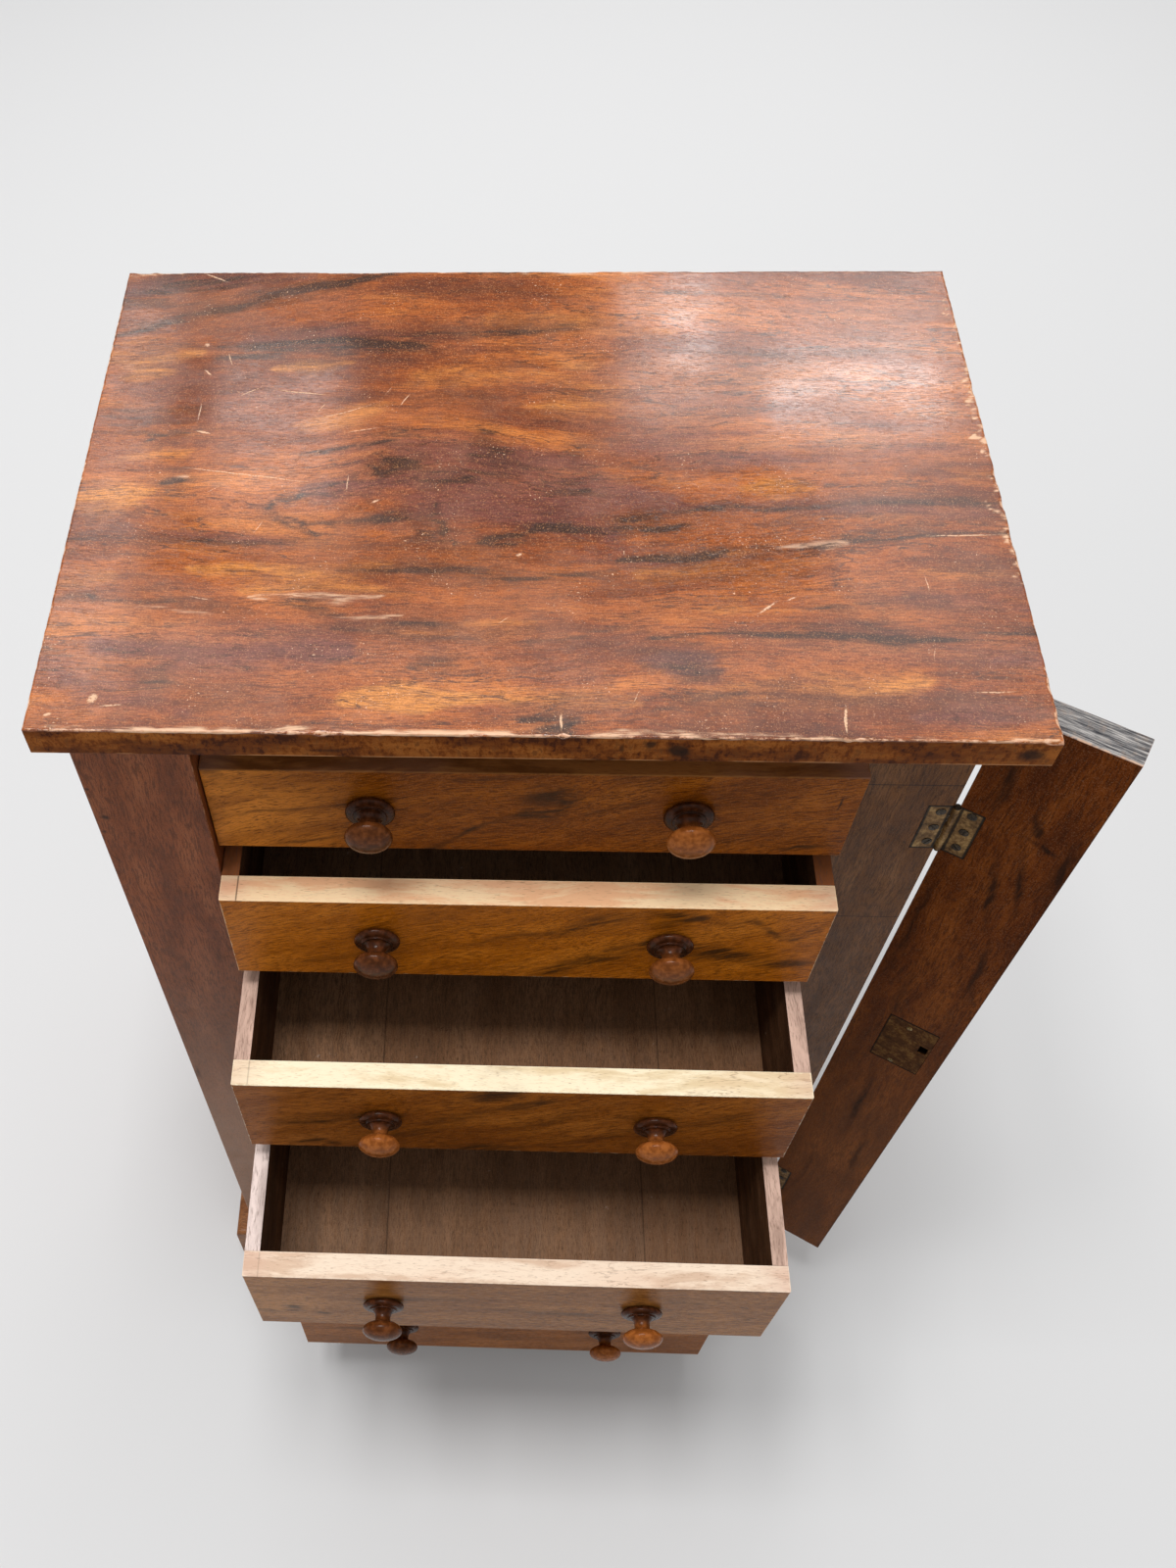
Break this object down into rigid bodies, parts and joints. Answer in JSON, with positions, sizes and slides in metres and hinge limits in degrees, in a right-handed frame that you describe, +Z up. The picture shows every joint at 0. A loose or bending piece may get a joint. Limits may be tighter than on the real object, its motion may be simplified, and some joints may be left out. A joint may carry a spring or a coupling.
{
  "type": "wellington chest",
  "caption": "Tall narrow chest of graduated drawers on a plinth, with an overhanging top and a hinged locking flap down one side of the front.",
  "frame": {"origin": "on the floor under the middle of the case, in the plane of the fixed stile's face and of the closed flap", "axes": "+Z up, +X to the right of someone who faces the drawers, -Y out of the front"},
  "size_m": [0.6665, 0.6488, 1.032],
  "materials": {
    "figured_walnut": "polished figured walnut, worn at the arrises",
    "case_walnut": "polished reddish-brown walnut",
    "front_walnut": "polished golden-brown walnut",
    "drawer_lining": "dry, unpolished grey-brown lining",
    "case_lining": "dry, unpolished dark brown boards",
    "knob_wood": "dark turned wood, polished by handling",
    "aged_brass": "brown, tarnished brass"
  },
  "bodies": {
    "case": {"top_board": "figured_walnut", "case_side_left": "case_walnut", "case_side_right": "case_walnut", "back_panel": "case_lining", "frieze_rail": "case_walnut", "bottom_board": "case_lining", "plinth_frame": "case_walnut", "dust_board_1": "case_lining", "dust_board_2": "case_lining", "dust_board_3": "case_lining", "dust_board_4": "case_lining", "dust_board_5": "case_lining", "hinge_upper_fixed_leaf": "aged_brass", "hinge_lower_fixed_leaf": "aged_brass"},
    "drawer_1": {"drawer_1_front": "front_walnut", "drawer_1_side_left": "drawer_lining", "drawer_1_side_right": "drawer_lining", "drawer_1_back": "drawer_lining", "drawer_1_bottom": "drawer_lining", "drawer_1_knob_left": "knob_wood", "drawer_1_knob_right": "knob_wood"},
    "drawer_2": {"drawer_2_front": "front_walnut", "drawer_2_side_left": "drawer_lining", "drawer_2_side_right": "drawer_lining", "drawer_2_back": "drawer_lining", "drawer_2_bottom": "drawer_lining", "drawer_2_knob_left": "knob_wood", "drawer_2_knob_right": "knob_wood"},
    "drawer_3": {"drawer_3_front": "front_walnut", "drawer_3_side_left": "drawer_lining", "drawer_3_side_right": "drawer_lining", "drawer_3_back": "drawer_lining", "drawer_3_bottom": "drawer_lining", "drawer_3_knob_left": "knob_wood", "drawer_3_knob_right": "knob_wood"},
    "drawer_4": {"drawer_4_front": "front_walnut", "drawer_4_side_left": "drawer_lining", "drawer_4_side_right": "drawer_lining", "drawer_4_back": "drawer_lining", "drawer_4_bottom": "drawer_lining", "drawer_4_knob_left": "knob_wood", "drawer_4_knob_right": "knob_wood"},
    "drawer_5": {"drawer_5_front": "front_walnut", "drawer_5_side_left": "drawer_lining", "drawer_5_side_right": "drawer_lining", "drawer_5_back": "drawer_lining", "drawer_5_bottom": "drawer_lining", "drawer_5_knob_left": "knob_wood", "drawer_5_knob_right": "knob_wood"},
    "drawer_6": {"drawer_6_front": "front_walnut", "drawer_6_side_left": "drawer_lining", "drawer_6_side_right": "drawer_lining", "drawer_6_back": "drawer_lining", "drawer_6_bottom": "drawer_lining", "drawer_6_knob_left": "knob_wood", "drawer_6_knob_right": "knob_wood"},
    "flap": {"flap_board": "case_walnut", "lock_case": "aged_brass", "hinge_upper_moving_leaf": "aged_brass", "hinge_lower_moving_leaf": "aged_brass"}
  },
  "joints": [
    {"name": "drawer_1_slide", "type": "slide", "parent": "case", "child": "drawer_1", "axis": [0, -1, 0], "range_m": [-0.018, 0.252]},
    {"name": "drawer_2_slide", "type": "slide", "parent": "case", "child": "drawer_2", "axis": [0, -1, 0], "range_m": [-0.0486, 0.2214]},
    {"name": "drawer_3_slide", "type": "slide", "parent": "case", "child": "drawer_3", "axis": [0, -1, 0], "range_m": [-0.13104, 0.13896]},
    {"name": "drawer_4_slide", "type": "slide", "parent": "case", "child": "drawer_4", "axis": [0, -1, 0], "range_m": [-0.23004, 0.03996]},
    {"name": "drawer_5_slide", "type": "slide", "parent": "case", "child": "drawer_5", "axis": [0, -1, 0], "range_m": [0, 0.27]},
    {"name": "drawer_6_slide", "type": "slide", "parent": "case", "child": "drawer_6", "axis": [0, -1, 0], "range_m": [-0.16164, 0.10836]},
    {"name": "flap_hinge", "type": "hinge", "parent": "case", "child": "flap", "pos_m": [0.28475, 0.0245, 0.552], "axis": [0, 0, 1], "range_deg": [-119, 29.5]}
  ]
}
